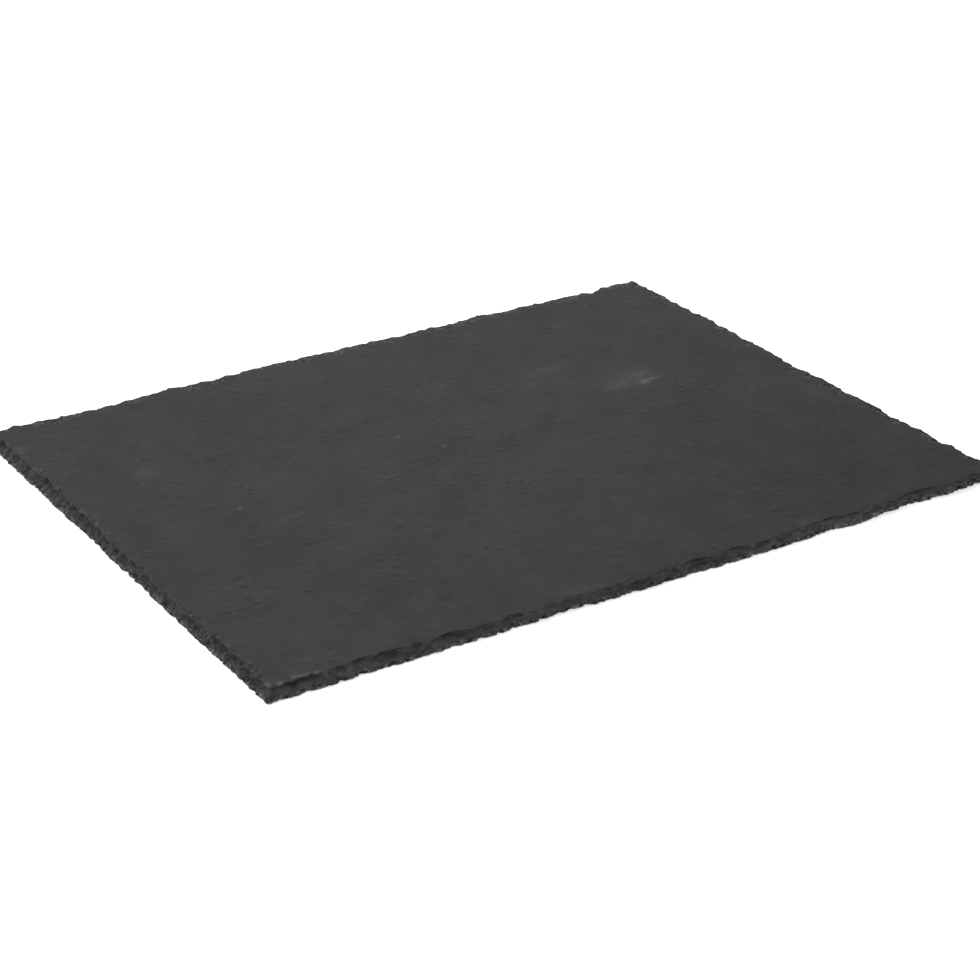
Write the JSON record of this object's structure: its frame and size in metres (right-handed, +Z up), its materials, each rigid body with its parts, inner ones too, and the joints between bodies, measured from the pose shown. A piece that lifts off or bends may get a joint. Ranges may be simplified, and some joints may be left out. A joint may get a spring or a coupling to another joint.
{
  "type": "slate slab",
  "caption": "Thin rectangular slab of dark natural slate with riven faces and hand-chipped bevelled edges, laid flat as a serving board or place mat.",
  "frame": {"origin": "middle of the flat underside, on the surface that the slab lies on", "axes": "+X along the long sides, +Y along the short sides, +Z up through the thickness, towards the face whose edges are bevelled"},
  "size_m": [0.325, 0.265, 0.0048],
  "materials": {
    "slate": "matt riven natural slate, dark charcoal"
  },
  "bodies": {
    "root": {"slate_slab": "slate"}
  },
  "joints": []
}
